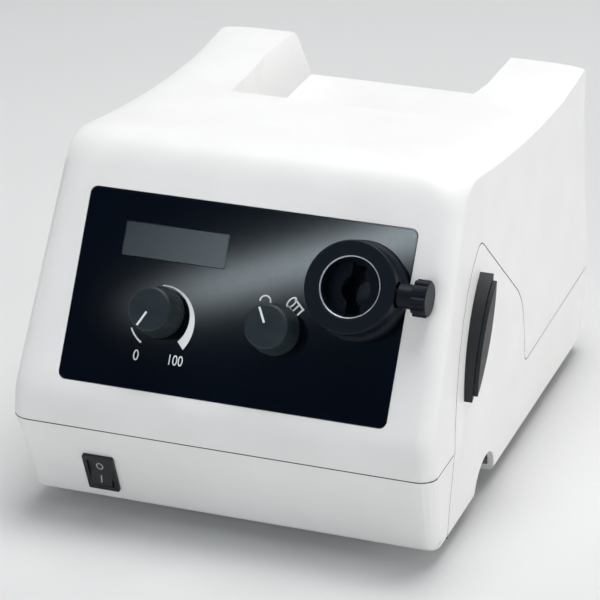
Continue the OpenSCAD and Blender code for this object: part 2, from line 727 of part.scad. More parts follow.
lamp_d = carriage_d - carriage_t;
module lamp_reflector() color("gainsboro") placed()
    on_face(port_x, port_s, lamp_d - lamp_l) rotate_extrude() polygon(concat([[8, 0], [10, 0]],
        [for (i = [1 : 8]) bowl(10, lamp_r - 11.2, 2, i)],
        [[lamp_r, lamp_l - 2.5], [lamp_r, lamp_l], [lamp_r - 1.8, lamp_l]],
        [for (i = [8 : -1 : 1]) bowl(8, lamp_r - 10.6, 4, i)]));
// A point of the bowl's wall, i eighths of a quarter turn up from its neck
function bowl(neck, reach, rise, i) =
    [neck + reach * sin(90 * i / 8), rise + (lamp_l - 5) * (1 - cos(90 * i / 8))];

module lamp_capsule() color("white", 0.6) placed() on_face(port_x, port_s, lamp_d - lamp_l - 2) {
    cylinder(r = 7.9, h = 6);
    cylinder(r = 4.5, h = 24);
    translate([0, 0, 24]) sphere(r = 4.5);
    for (k = [-1, 1]) translate([3.2 * k, 0, -7]) cylinder(r = 0.8, h = 7 + eps);
}

module lamp_socket() color("linen") placed() on_face(port_x, port_s, lamp_d - lamp_l - 16) difference() {
    plate(24, 14, 14, 2);
    for (k = [-1, 1]) translate([3.2 * k, 0, 6]) cylinder(r = 0.8 + run_gap, h = 10);
}

// The carriage holds the lamp by its rim and hangs on the side cover
module lamp_carriage() color("silver") placed() {
    difference() {
        on_face(port_x + 2, port_s - 2, lamp_d) plate(62, 56, carriage_t);
        on_face(port_x, port_s, lamp_d - 5) cylinder(r = lamp_r - 1.5, h = 10);
    }
    for (k = [-1, 1]) on_face(port_x + k * (lamp_r + 1.3), port_s, lamp_d - 5) translate([-0.9, -6, 0])
        cube([1.8, 12, 5 + eps]);
    on_face(port_x + 31, port_s - 2, lamp_d - lamp_l) plate(1.6, 30, lamp_l + eps);
    on_face(port_x + 8, port_s, lamp_d - lamp_l - 18) plate(49, 12, 2);
    on_face(port_x + 31.8, port_s, lamp_d - lamp_l - 18) plate(1.6, 12, 20);
    on_face(tab_x - 4, port_s - 2, lamp_d) plate(8, tab_h, carriage_t);
}

// Rail on the tray that the carriage's lower edge slides along
rail_s = port_s - 30 - seat_gap;
module lamp_rail() color("silver") placed() {
    on_face(port_x - 3, rail_s - 2, lamp_d - 3) plate(60, 4, 8);
    for (x = [port_x - 27, port_x + 21]) translate([x - 1.5, face_y(rail_s - 2, lamp_d), floor_z])
        cube([3, 4, face_z(rail_s - 3, lamp_d) - floor_z]);
}

// ---- Cooling ----

fan_y = body_d - wall - fan_t;
fan_bore = fan_w / 2 - 2;
module fan_frame() color("#26282c") placed() translate([fan_x, fan_y + fan_t, fan_z]) rotate([90, 0, 0]) {
    difference() {
        plate(fan_w, fan_w, fan_t, 4);
        translate([0, 0, 2]) cylinder(r = fan_bore, h = fan_t);
        translate([0, 0, -1]) tube(fan_bore, 17, 5);
        fan_holes(fan_t);
    }
    for (q = [45 : 90 : 315]) rotate([0, 0, q]) translate([16, -2, 0]) cube([fan_bore - 15, 4, 2]);
    cylinder(r = 2, h = fan_t - 6);
}

module fan_rotor() color("#34363b") placed() translate([fan_x, fan_y + fan_t, fan_z]) rotate([90, 0, 0])
    difference() {
        union() {
            translate([0, 0, 2.6]) cylinder(r = 16, h = fan_t - 4);
            for (k = [0 : 6]) rotate([0, 0, k * 360 / 7]) translate([14, 0, fan_t / 2 + 0.6])
                rotate([35, 0, 0]) translate([0, -0.7, -(fan_t - 6) / 2])
                cube([fan_bore - 15.5, 1.4, fan_t - 6]);
        }
        translate([0, 0, 1]) cylinder(r = 2 + run_gap, h = fan_t - 6);
    }

grille_t = 1.5;
slot_pitch = 5.6;
slot_w = 3.2;
function slot_half(y) = sqrt(pow(fan_bore, 2) - y * y);
module rear_grille() color("#2a2c30") placed() translate([fan_x, body_d, fan_z]) rotate([90, 0, 0])
    difference() {
        plate(grille_w, grille_h, grille_t, 3);
        for (i = [-5 : 5]) translate([-slot_half(slot_pitch * i), slot_pitch * i - slot_w / 2, -1])
            cube([2 * slot_half(slot_pitch * i), slot_w, grille_t + 2]);
        fan_holes(grille_t);
    }

// ---- Mains entry ----

inlet_x = 50 - half_w;
inlet_z = 29;
inlet_w = 50;
inlet_h = 29;
module mains_inlet() color("#1e1f22") placed()
    translate([inlet_x, body_d, inlet_z]) rotate([90, 0, 0]) difference() {
    union() {
        translate([0, 0, -1.8]) plate(inlet_w, inlet_h, 1.8, 3);
        translate([0, 0, -eps]) plate(inlet_w - 4.6, inlet_h - 4.6, 26, 2);
    }
    translate([-10, 0, -3]) difference() {
        plate(24.4, 17.4, 20, 3);
        for (k = [-1, 0, 1]) translate([7 * k - 1, k == 0 ? 0 : -4, 7]) cube([2, 4, 14]);
    }
    translate([14.5, 0, -3]) plate(14.4, 22.4, 22, 0.5);
}

module fuse_drawer() color("#2a2c30") placed()
    translate([inlet_x + 14.5, body_d, inlet_z]) rotate([90, 0, 0]) {
    translate([0, 0, -drawer_out]) plate(13.8, 21.8, 3, 0.6);
    translate([0, 0, 0.2]) plate(12, 20, 16, 0.6);
}

// ---- Power supply ----

core_x = core_w / 2 + 16 - half_w;
core_back = 80;
core_y = body_d - core_back;
core_z = floor_z + 2;
module transformer_core() color("dimgray") placed() translate([core_x, core_y, core_z]) {
    translate([-core_w / 2, -core_d / 2, 0]) difference() {
        cube([core_w, core_d, core_h]);
        for (k = [0, 1]) translate([core_w / 6 + k * core_w / 2, -1, core_w / 6])
            cube([core_w / 6, core_d + 2, core_h - core_w / 3]);
    }
    translate([-core_w / 2 - 6, -core_d / 2, -2]) cube([core_w + 12, core_d, 2 + eps]);
}

module transformer_coil() color("darkorange") placed()
    translate([core_x, core_y, core_z + core_w / 6]) difference() {
    translate([-core_w / 3 + seat_gap, -core_d / 2 - 12, seat_gap])
        cube([core_w * 2 / 3 - 2 * seat_gap, core_d + 24, core_h - core_w / 3 - 2 * seat_gap]);
    translate([-core_w / 6 - seat_gap, -core_d / 2 - seat_gap, -1])
        cube([core_w / 3 + 2 * seat_gap, core_d + 2 * seat_gap, core_h]);
}

power_z = floor_z + 6;
power_x = 10 - half_w;
power_y = 44;
power_w = 64;
power_l = 72;
board_pegs = [for (x = [4, power_w - 4]) for (y = [4, power_l - 4]) [power_x + x, power_y + y]];
relay_size = [18, 14, 12];
module power_board() color("darkgreen") placed() translate([power_x, power_y, power_z]) {
    cube([power_w, power_l, board_t]);
    for (k = [0 : 2]) translate([12, 12 + 14 * k, board_t - eps]) cylinder(r = 5, h = 16);
    translate([38, 8, board_t - eps]) cube(relay_size);
}

sink_w = 30;
sink_l = 36;
sink_h = 20;
sink_fin_t = 2;
module heat_sink() color("gray") placed() translate([power_x + 28, power_y + 30, power_z + board_t]) {
    cube([sink_w, sink_l, 3]);
    for (k = [0 : 5]) translate([k * (sink_w - sink_fin_t) / 5, 0, 0]) cube([sink_fin_t, sink_l, sink_h]);
}

// ---- Feet and fasteners ----

module feet() color("#202124") placed() for (x = foot_xs) for (y = foot_ys) translate([x, y, 0]) {
    cylinder(r1 = foot_r - 1, r2 = foot_r, h = 1.5, $fn = 60);
    translate([0, 0, 1.5]) cylinder(r = foot_r, h = foot_h - 1.5);
    cylinder(r = 2, h = floor_z + 1);
    translate([0, 0, floor_z]) cylinder(r = 3, h = 1.5);
}

module screw(r, head_r, head_h, len) {
    difference() {
        cylinder(r = head_r, h = head_h);
        translate([-head_r, -0.4, -1]) cube([2 * head_r, 0.8, 1.6]);
    }
    cylinder(r = r, h = len);
}

module housing_screws() color("silver") placed() for (side = [-1, 1]) for (y = post_ys)
    translate([side * post_x, y, foot_h + 0.2]) screw(1.2, 3, 1.4, 16);

fan_head = 1.2;
module fan_screws() color("silver") placed() for (x = [-1, 1]) for (y = [-1, 1])
    translate([fan_x, body_d + fan_head, fan_z]) rotate([90, 0, 0])
    translate([x * fan_pitch, y * fan_pitch, 0]) screw(1.5, 2.8, fan_head, 18);

module panel_screws() color("silver") placed() for (p = spacer_pts)
    on_face(p[0], p[1], board_d - board_t - 1.6) screw(1.2, 2.6, 1.6, 6);

upper_housing();
base_tray();
side_cover();
side_grip();
front_panel();
display_window();
display_module();
mounting_plate();
control_board();
intensity_knob();
intensity_shaft();
potentiometer();
shaft_nuts();
diaphragm_knob();
diaphragm_shaft();
diaphragm_vane();
filter_glass();
port_collar();
port_insert();
port_nut();
clamp_screw();
clamp_pad();
switch_bezel();
switch_rocker();
switch_body();
heat_filter();
filter_holder();
lamp_reflector();
lamp_capsule();
lamp_socket();
lamp_carriage();
lamp_rail();
fan_frame();
fan_rotor();
rear_grille();
mains_inlet();
fuse_drawer();
transformer_core();
transformer_coil();
power_board();
heat_sink();
feet();
housing_screws();
fan_screws();
panel_screws();
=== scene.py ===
"""Looks of the fibre-optic cold-light source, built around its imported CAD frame."""

import json
import math

import bmesh
import bpy
from mathutils import Matrix, Vector


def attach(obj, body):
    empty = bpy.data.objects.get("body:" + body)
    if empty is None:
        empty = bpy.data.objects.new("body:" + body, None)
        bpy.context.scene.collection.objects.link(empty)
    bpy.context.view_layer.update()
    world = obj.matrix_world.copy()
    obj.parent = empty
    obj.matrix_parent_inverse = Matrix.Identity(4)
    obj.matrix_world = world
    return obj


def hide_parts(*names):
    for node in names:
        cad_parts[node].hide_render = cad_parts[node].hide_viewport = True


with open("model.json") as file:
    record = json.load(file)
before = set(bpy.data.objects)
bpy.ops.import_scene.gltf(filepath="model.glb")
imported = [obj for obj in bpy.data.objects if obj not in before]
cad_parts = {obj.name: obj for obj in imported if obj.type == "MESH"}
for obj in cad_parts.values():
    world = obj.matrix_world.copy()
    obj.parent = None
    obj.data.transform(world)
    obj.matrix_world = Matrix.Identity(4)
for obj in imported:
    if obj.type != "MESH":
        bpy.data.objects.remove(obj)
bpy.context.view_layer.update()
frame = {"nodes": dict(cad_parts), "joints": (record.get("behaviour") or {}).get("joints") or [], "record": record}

MM = 0.001
UP = Vector((0, 0, 1))
IMAGE = 600

# ---- Places on the part, in millimetres ----

JOINTS = {joint["name"]: joint for joint in frame["joints"]}
DIAL = (-34.0, 60.3)
IRIS = (20.5, 60.3)
PORT = (55.0, 82.5)
PORT_LEN = 15.0
PORT_BORE = 13.0
KNOB_TOP = 15.6
PANEL_SIZE = (154.2, 87.6)
PANEL_MID = (0.0, 68.8)
PANEL_CORNER = 3.5

face_out = -Vector(JOINTS["intensity_turn"]["axis"]).normalized()
face_right = Vector((1, 0, 0))
face_up = face_out.cross(face_right)
face_zero = (
    Vector(JOINTS["intensity_turn"]["pos_m"])
    - face_right * DIAL[0] * MM
    - face_up * DIAL[1] * MM
)


def turned(*axes):
    """Matrix that turns x, y and z to three axes."""
    return Matrix(axes).transposed().to_4x4()


def on_face(x, s, d=0.0):
    """Matrix of a place on the front face: x right, s up along the face, d outwards."""
    place = face_zero + (face_right * x + face_up * s + face_out * d) * MM
    return Matrix.Translation(place) @ turned(face_right, face_up, face_out)


# The body's own axes: x from its middle, y from the nose, z from the table
FACE_BACK = -8.9
SEAM_Z = face_zero.z / MM
HALF_W = 100.0
BODY_D = 258.0
UPPER_DRAFT = -0.05
LOWER_DRAFT = 0.056
body_zero = Matrix.Translation((face_zero.x, face_zero.y - FACE_BACK * MM, 0))


def side_x(z):
    """How far out the body's side stands at a height."""
    return HALF_W + (UPPER_DRAFT if z > SEAM_Z else LOWER_DRAFT) * (z - SEAM_Z)


# The rocker's pivot on the apron, which leans back below the seam
rocker_pivot = Matrix.Translation(JOINTS["rocker_tilt"]["pos_m"])
APRON_LEAN = math.radians(20.7)
apron_out = Vector((0, -math.cos(APRON_LEAN), -math.sin(APRON_LEAN)))
apron_turn = turned(face_right, apron_out.cross(face_right), apron_out)


# ---- Materials ----


class Tree:
    """A node tree, with short calls for what every finish needs."""

    def __init__(self, tree):
        self.tree = tree

    def add(self, kind, **values):
        """A new node, whose values are settings of its own or of its sockets."""
        node = self.tree.nodes.new(kind)
        for key, value in values.items():
            if hasattr(node, key):
                setattr(node, key, value)
            else:
                node.inputs[key].default_value = value
        return node

    def link(self, source, target):
        self.tree.links.new(source, target)

    def axes(self, way):
        """The X, Y and Z of a vector."""
        node = self.add("ShaderNodeSeparateXYZ")
        self.link(way, node.inputs["Vector"])
        return node.outputs

    def calc(self, operation, *sources):
        """The result of some arithmetic on one or two values."""
        node = self.add("ShaderNodeMath", operation=operation)
        for source, socket in zip(sources, node.inputs):
            self.link(source, socket)
        return node.outputs[0]

    def ramp(self, value, low, high, start=0.3, end=0.7, kind="LINEAR"):
        """Runs from low to high while value runs from start to end."""
        node = self.add("ShaderNodeMapRange", interpolation_type=kind)
        node.inputs["From Min"].default_value = start
        node.inputs["From Max"].default_value = end
        node.inputs["To Min"].default_value = low
        node.inputs["To Max"].default_value = high
        self.link(value, node.inputs["Value"])
        return node.outputs["Result"]

    def mix(self, value, first, second):
        """Runs from one colour to another with value; each is a tuple or a socket."""
        node = self.add("ShaderNodeMix", data_type="RGBA")
        for colour, socket in ((first, node.inputs[6]), (second, node.inputs[7])):
            if isinstance(colour, tuple):
                socket.default_value = (*colour, 1)
            else:
                self.link(colour, socket)
        self.link(value, node.inputs[0])
        return node.outputs[2]


class Finish(Tree):
    """A material's node tree around its shader."""

    def __init__(self, name):
        self.material = bpy.data.materials.new(name)
        self.material.use_nodes = True
        super().__init__(self.material.node_tree)
        self.shader = self.tree.nodes["Principled BSDF"]

    def set(self, **values):
        for key, value in values.items():
            self.shader.inputs[key.replace("_", " ")].default_value = value

    def place(self):
        return self.add("ShaderNodeTexCoord").outputs["Object"]

    def noise(self, size_mm, detail=3.0):
        """Noise whose grains are about size_mm across."""
        node = self.add("ShaderNodeTexNoise", Scale=1 / (size_mm * MM), Detail=detail)
        self.link(self.place(), node.inputs["Vector"])
        return node.outputs["Fac"]

    def bricks(self, size_mm, colours, gap):
        """Cells about size_mm across in two colours, with a third between them."""
        node = self.add("ShaderNodeTexBrick", Scale=1 / (size_mm * MM))
        for key, colour in zip(("Color1", "Color2", "Mortar"), colours):
            node.inputs[key].default_value = (*colour, 1)
        node.inputs["Mortar Size"].default_value = gap
        self.link(self.place(), node.inputs["Vector"])
        self.link(node.outputs["Color"], self.shader.inputs["Base Color"])

    def tint(self, value, dark, light):
        """Colour that runs from dark to light with value."""
        self.link(self.mix(value, dark, light), self.shader.inputs["Base Color"])

    def roughen(self, value, low, high):
        """Roughness that runs from low to high with value."""
        self.link(self.ramp(value, low, high), self.shader.inputs["Roughness"])

    def bump(self, height, depth_mm, edge_mm=0.25):
        """Relief of a height, on edges that look rounded by a radius."""
        node = self.add("ShaderNodeBump", Distance=depth_mm * MM)
        self.link(height, node.inputs["Height"])
        edge = self.add("ShaderNodeBevel", samples=4, Radius=edge_mm * MM)
        self.link(edge.outputs["Normal"], node.inputs["Normal"])
        self.link(node.outputs["Normal"], self.shader.inputs["Normal"])


def moulded(name, dark, light, rough, grain_mm=0.45, depth_mm=0.012, mottle_mm=35.0, shine=0.5):
    """Moulded plastic: a fine spark-eroded grain and a faint mottle of colour."""
    n = Finish(name)
    n.tint(n.ramp(n.noise(mottle_mm, 2.0), 0.0, 1.0), dark, light)
    n.roughen(n.noise(4.0), rough - 0.04, rough + 0.05)
    n.bump(n.noise(grain_mm, 2.0), depth_mm)
    n.set(Specular_IOR_Level=shine)
    return n.material


DRAWN = (1, 1, 30)
EVEN = (1, 1, 1)


def brushed(name, dark, light, rough, stretch=DRAWN, grain_mm=6.0, metallic=1.0):
    """Metal with drawn or turned marks along one direction."""
    n = Finish(name)
    mapping = n.add("ShaderNodeMapping")
    mapping.inputs["Scale"].default_value = stretch
    n.link(n.place(), mapping.inputs["Vector"])
    texture = n.add("ShaderNodeTexNoise", Scale=1 / (grain_mm * MM), Detail=4.0)
    n.link(mapping.outputs["Vector"], texture.inputs["Vector"])
    marks = texture.outputs["Fac"]
    n.tint(n.ramp(marks, 0.0, 1.0), dark, light)
    n.set(Metallic=metallic)
    n.roughen(marks, rough - 0.06, rough + 0.08)
    n.bump(marks, 0.01)
    return n.material


def gloss_panel():
    """Printed polycarbonate front: near black, clear and smooth, with faint dust."""
    n = Finish("panel_gloss")
    n.tint(n.ramp(n.noise(60.0, 1.0), 0.0, 1.0), (0.0009, 0.0014, 0.003), (0.0012, 0.002, 0.0045))
    n.roughen(n.noise(1.2, 4.0), 0.065, 0.08)
    n.bump(n.noise(9.0, 1.0), 0.003)
    return n.material


def display():
    """Liquid crystal window behind a glossy film, with its faint rows of cells."""
    n = Finish("display_glass")
    n.bricks(1.4, ((0.014, 0.02, 0.023), (0.0147, 0.021, 0.024), (0.013, 0.0185, 0.021)), 0.03)
    n.roughen(n.noise(3.0), 0.21, 0.23)
    n.set(Specular_IOR_Level=1.0, Coat_Weight=1.0, Coat_Roughness=0.16)
    return n.material


def anodised(name, dark, light, rough):
    """Black anodised aluminium, turned fine."""
    n = Finish(name)
    n.tint(n.ramp(n.noise(1.5, 5.0), 0.0, 1.0), dark, light)
    n.roughen(n.noise(0.5), rough - 0.05, rough + 0.06)
    n.bump(n.noise(0.25, 3.0), 0.006, 0.35)
    n.set(Specular_IOR_Level=0.18)
    return n.material


def ink(name, colour):
    """Screen-printed ink, slightly uneven."""
    n = Finish(name)
    shade = tuple(c * 0.93 for c in colour)
    n.tint(n.ramp(n.noise(0.6), 0.0, 1.0), shade, colour)
    n.roughen(n.noise(0.4), 0.42, 0.52)
    return n.material


def clear_glass(name, colour, rough):
    """Clear glass with a faint unevenness of its polish."""
    n = Finish(name)
    n.roughen(n.noise(5.0), rough, rough + 0.03)
    n.set(Base_Color=(*colour, 1), Transmission_Weight=0.9, IOR=1.47)
    return n.material


def circuit_board():
    """Green board: solder resist in fields, with paler traces between them."""
    n = Finish("circuit_board")
    n.bricks(5.0, ((0.012, 0.09, 0.035), (0.018, 0.12, 0.045), (0.03, 0.17, 0.07)), 0.06)
    n.roughen(n.noise(2.0), 0.3, 0.45)
    return n.material


def winding():
    """Enamelled copper wire wound side by side."""
    n = Finish("copper_coil")
    wave = n.add("ShaderNodeTexWave", bands_direction="Z", Scale=1 / (3.0 * MM))
    n.link(n.place(), wave.inputs["Vector"])
    wires = wave.outputs["Fac"]
    n.tint(wires, (0.25, 0.08, 0.02), (0.62, 0.27, 0.09))
    n.set(Metallic=0.7)
    n.roughen(wires, 0.3, 0.4)
    n.bump(wires, 0.3)
    return n.material


MATERIALS = {
    "housing_plastic": moulded(
        "housing_plastic", (0.765, 0.762, 0.748), (0.80, 0.797, 0.785), 0.42),
    "black_plastic": moulded(
        "black_plastic", (0.006, 0.008, 0.01), (0.009, 0.012, 0.014), 0.46),
    "knob_plastic": moulded(
        "knob_plastic", (0.012, 0.019, 0.024), (0.018, 0.027, 0.033), 0.5,
        grain_mm=0.3, mottle_mm=8.0, shine=0.28),
    "panel_gloss": gloss_panel(),
    "display": display(),
    "sheet_metal": brushed("sheet_metal", (0.5, 0.5, 0.49), (0.66, 0.66, 0.65), 0.38),
    "steel": brushed("steel", (0.42, 0.42, 0.43), (0.58, 0.58, 0.59), 0.32),
    "circuit_board": circuit_board(),
    "brass": brushed("brass", (0.6, 0.43, 0.16), (0.78, 0.6, 0.28), 0.3),
    "glass": clear_glass("glass", (0.82, 0.93, 0.96), 0.02),
    "anodised": anodised("anodised", (0.003, 0.005, 0.009), (0.005, 0.008, 0.014), 0.42),
    "nylon": moulded("nylon", (0.66, 0.63, 0.54), (0.72, 0.69, 0.6), 0.4),
    "mirror_glass": brushed(
        "mirror_glass", (0.72, 0.76, 0.82), (0.82, 0.85, 0.9), 0.16, EVEN, grain_mm=20.0),
    "ceramic": moulded(
        "ceramic", (0.74, 0.7, 0.62), (0.82, 0.79, 0.72), 0.55, grain_mm=0.3),
    "aluminium": brushed("aluminium", (0.55, 0.55, 0.57), (0.7, 0.7, 0.72), 0.36),
    "copper_coil": winding(),
    "rubber": moulded(
        "rubber", (0.016, 0.016, 0.017), (0.024, 0.024, 0.025), 0.8, grain_mm=0.6, depth_mm=0.03),
}

for part in frame["record"]["subparts"]:
    data = frame["nodes"][part["node"]].data
    data.materials.clear()
    data.materials.append(MATERIALS[part["material_slot"]])

WHITE_INK = ink("white_ink", (0.78, 0.8, 0.8))
GREY_INK = ink("grey_ink", (0.42, 0.42, 0.41))
BRIGHT_EDGE = brushed(
    "bright_edge", (0.5, 0.53, 0.58), (0.66, 0.69, 0.74), 0.25, EVEN, metallic=0.5)
# Black plastic set in the seams as painted shade of their gaps
SEAM_SHADE = moulded("painted_seam_shade", (0.006, 0.006, 0.007), (0.009, 0.009, 0.01), 0.7)
NICKEL = brushed("nickel", (0.62, 0.6, 0.56), (0.78, 0.76, 0.72), 0.26, EVEN, grain_mm=10.0)
TUNGSTEN = brushed("tungsten", (0.2, 0.19, 0.18), (0.34, 0.33, 0.32), 0.4, EVEN, grain_mm=5.0)


# ---- Pieces ----


def in_scene(name, data):
    """Makes an object of some data, in the scene."""
    thing = bpy.data.objects.new(name, data)
    bpy.context.scene.collection.objects.link(thing)
    return thing


def as_mesh(name, bm):
    """Turns a finished bmesh into a mesh."""
    mesh = bpy.data.meshes.new(name)
    bm.to_mesh(mesh)
    bm.free()
    return mesh


def piece(name, mesh, body, material, place):
    """Makes an object of a mesh drawn in millimetres, and lets it ride on a body."""
    mesh.transform(place @ Matrix.Diagonal((MM, MM, MM, 1)))
    thing = in_scene(name, mesh)
    mesh.materials.append(material)
    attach(thing, body)


def solid(name, outline, low, high, holes=()):
    """A flat solid between two heights, from an outline of (x, y) points."""
    bm = bmesh.new()
    rings = [[bm.verts.new((x, y, low)) for x, y in loop] for loop in (outline, *holes)]
    edges = [bm.edges.new((r[i], r[(i + 1) % len(r)])) for r in rings for i in range(len(r))]
    bmesh.ops.triangle_fill(bm, edges=edges, use_beauty=True, use_dissolve=False)
    grown = bmesh.ops.extrude_face_region(bm, geom=bm.faces[:])
    tops = [v for v in grown["geom"] if isinstance(v, bmesh.types.BMVert)]
    bmesh.ops.translate(bm, verts=tops, vec=(0, 0, high - low))
    bmesh.ops.recalc_face_normals(bm, faces=bm.faces[:])
    return as_mesh(name, bm)


def lathe(name, profile, steps=96):
    """A closed profile of (r, z) points turned about z."""
    bm = bmesh.new()
    rings = []
    for k in range(steps):
        q = 2 * math.pi * k / steps
        rings.append([bm.verts.new((r * math.cos(q), r * math.sin(q), z)) for r, z in profile])
    for k in range(steps):
        a, b = rings[k], rings[(k + 1) % steps]
        for i in range(len(profile)):
            j = (i + 1) % len(profile)
            bm.faces.new((a[i], b[i], b[j], a[j])).smooth = True
    bmesh.ops.recalc_face_normals(bm, faces=bm.faces[:])
    return as_mesh(name, bm)


def tube(name, line, radius, steps=8):
    """A round wire along a line of 3-D points."""
    bm = bmesh.new()
    line = [Vector(here) for here in line]
    rings = []
    for i, here in enumerate(line):
        ahead = (line[min(i + 1, len(line) - 1)] - line[max(i - 1, 0)]).normalized()
        side = ahead.orthogonal() if not rings else ahead.cross(side.cross(ahead))
        side.normalize()
        other = ahead.cross(side)
        ring = []
        for k in range(steps):
            q = 2 * math.pi * k / steps
            ring.append(bm.verts.new(here + (side * math.cos(q) + other * math.sin(q)) * radius))
        rings.append(ring)
    for a, b in zip(rings, rings[1:]):
        for k in range(steps):
            j = (k + 1) % steps
            bm.faces.new((a[k], a[j], b[j], b[k])).smooth = True
    bm.faces.new(rings[0][::-1])
    bm.faces.new(rings[-1])
    bmesh.ops.recalc_face_normals(bm, faces=bm.faces[:])
    return as_mesh(name, bm)


def rounded(w, h, r, steps=8):
    """Outline of a rectangle with rounded corners."""
    points = []
    for k, (sx, sy) in enumerate(((1, 1), (-1, 1), (-1, -1), (1, -1))):
        for i in range(steps + 1):
            q = math.radians(90 * k + 90 * i / steps)
            points.append((sx * (w / 2 - r) + r * math.cos(q), sy * (h / 2 - r) + r * math.sin(q)))
    return points


def arc(middle, turns, radii, widths, steps=40, ease=1):
    """Outline of a band round a middle, its angles from upright and clockwise.

    The inner radius and the width run from their first value to their second.
    """
    inner, outer = [], []
    for i in range(steps + 1):
        q = math.radians(turns[0] + (turns[1] - turns[0]) * i / steps)
        t = (i / steps) ** ease
        r = radii[0] + (radii[1] - radii[0]) * t
        w = widths[0] + (widths[1] - widths[0]) * t
        inner.append((middle[0] + r * math.sin(q), middle[1] + r * math.cos(q)))
        outer.append((middle[0] + (r + w) * math.sin(q), middle[1] + (r + w) * math.cos(q)))
    return outer + inner[::-1]


def ellipse(middle, rx, ry, turn=0.0, steps=40):
    """Outline of an ellipse, turned by an angle."""
    c, s = math.cos(math.radians(turn)), math.sin(math.radians(turn))
    points = []
    for i in range(steps):
        q = 2 * math.pi * i / steps
        x, y = rx * math.cos(q), ry * math.sin(q)
        points.append((middle[0] + x * c - y * s, middle[1] + x * s + y * c))
    return points


def stroke(a, b, width):
    """Outline of a straight line with a width."""
    a, b = Vector(a), Vector(b)
    along = (b - a).normalized() * width / 2
    side = Vector((-along.y, along.x))
    return [tuple(a + side), tuple(a - side), tuple(b - side), tuple(b + side)]


def bezier(p0, p1, p2, p3, steps):
    """Points along a curve, without its last one."""
    points = []
    for i in range(steps):
        t = i / steps
        weights = ((1 - t) ** 3, 3 * t * (1 - t) ** 2, 3 * t * t * (1 - t), t ** 3)
        terms = list(zip(weights, (p0, p1, p2, p3)))
        points.append(tuple(sum(w * p[k] for w, p in terms) for k in (0, 1)))
    return points


def band(line, before, after):
    """Outline of a band along a line of points, between two distances to its left."""
    sides = []
    for reach in (before, after):
        side = []
        for i, here in enumerate(line):
            a, b = Vector(line[max(i - 1, 0)]), Vector(line[min(i + 1, len(line) - 1)])
            along = (b - a).normalized()
            side.append((here[0] - along.y * reach, here[1] + along.x * reach))
        sides.append(side)
    return sides[0] + sides[1][::-1]


# ---- Moulded shells ----

SKIN_ANGLE = math.radians(34)
WELD = 0.01 * MM


def skin(node, body):
    """A shell's own form with its facets shaded as the curves they stand for."""
    source = frame["nodes"][node]
    bm = bmesh.new()
    bm.from_mesh(source.data)
    bm.transform(source.matrix_world)
    bmesh.ops.remove_doubles(bm, verts=bm.verts[:], dist=WELD)
    bmesh.ops.dissolve_degenerate(bm, edges=bm.edges[:], dist=WELD)
    for face in bm.faces:
        face.smooth = True
    for edge in bm.edges:
        edge.smooth = edge.is_manifold and edge.calc_face_angle(0) < SKIN_ANGLE
    raw = in_scene(node + "_raw", as_mesh(node + "_skin", bm))
    raw.modifiers.new("even", "WEIGHTED_NORMAL").keep_sharp = True
    shaded = raw.evaluated_get(bpy.context.evaluated_depsgraph_get())
    finished = bpy.data.meshes.new_from_object(shaded)
    bpy.data.objects.remove(raw)
    finished.materials.clear()
    finished.materials.append(MATERIALS["housing_plastic"])
    thing = in_scene(node + "_skin", finished)
    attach(thing, body)
    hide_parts(node)


skin("upper_housing", "housing")
skin("base_tray", "housing")
skin("side_cover", "lamp_module")

# ---- Painted seam shade: black strips just below the surface that darken the seams' gaps ----

# The black strips of painted seam shade: half their width, how far below the surface, how deep
SEAM_SHADE_HALF = 0.235
SEAM_SHADE_INSET = 0.03
SEAM_SHADE_DEPTH = 2.0
FRONT_CORNER = (9, 7)
REAR_CORNER = (8, 7)
SPLIT_X = 88.0
FIN_Z = 130.0
COVER_Z = 44.6
COVER_Y = 30.0
COVER_DEPTH = 6

# The cover's seam as (y, z): up its front, over the fin and down to its rear edge
FIN_FOOT = [(COVER_Y, 8.0), (COVER_Y, 18.0)]
FIN_CURVES = (
    ((COVER_Y, 28), (COVER_Y + 1, 75), (50, 118), (76, FIN_Z), 8),
    ((76, FIN_Z), (80, FIN_Z + 1.8), (83, FIN_Z - 1), (87, FIN_Z - 4.8), 4),
    ((133, 85), (139, 79.5), (141, 72), (141, 62), 3),
    ((141, COVER_Z + 6), (141, COVER_Z + 2), (142.5, COVER_Z), (146, COVER_Z), 3),
)
FIN_REAR = [(146, COVER_Z), (249, COVER_Z + 3.9)]


def quarter_turn(x, y, radii, start, steps=8):
    """Points of a quarter turn about a middle, clockwise from an angle."""
    turns = [math.radians(start - 90 * i / steps) for i in range(steps + 1)]
    return [(x + radii[0] * math.cos(q), y + radii[1] * math.sin(q)) for q in turns]


def main_seam_shade():
    """Painted shade in the main seam, from the cover's front seam round the nose, the left side and the rear."""
    w, back = HALF_W - SEAM_SHADE_INSET, BODY_D - SEAM_SHADE_INSET
    front_x, front_y = w - FRONT_CORNER[0], SEAM_SHADE_INSET + FRONT_CORNER[1]
    rear_x, rear_y = w - REAR_CORNER[0], back - REAR_CORNER[1]
    line = [(w, COVER_Y)]
    line += quarter_turn(front_x, front_y, FRONT_CORNER, 0)
    line += quarter_turn(-front_x, front_y, FRONT_CORNER, -90)
    line += quarter_turn(-rear_x, rear_y, REAR_CORNER, 180)
    line.append((SPLIT_X, back))
    outline = band(line, 0, -SEAM_SHADE_DEPTH)
    mesh = solid("main_seam_shade", outline, SEAM_Z - SEAM_SHADE_HALF, SEAM_Z + SEAM_SHADE_HALF)
    piece("main_seam_shade", mesh, "housing", SEAM_SHADE, body_zero)


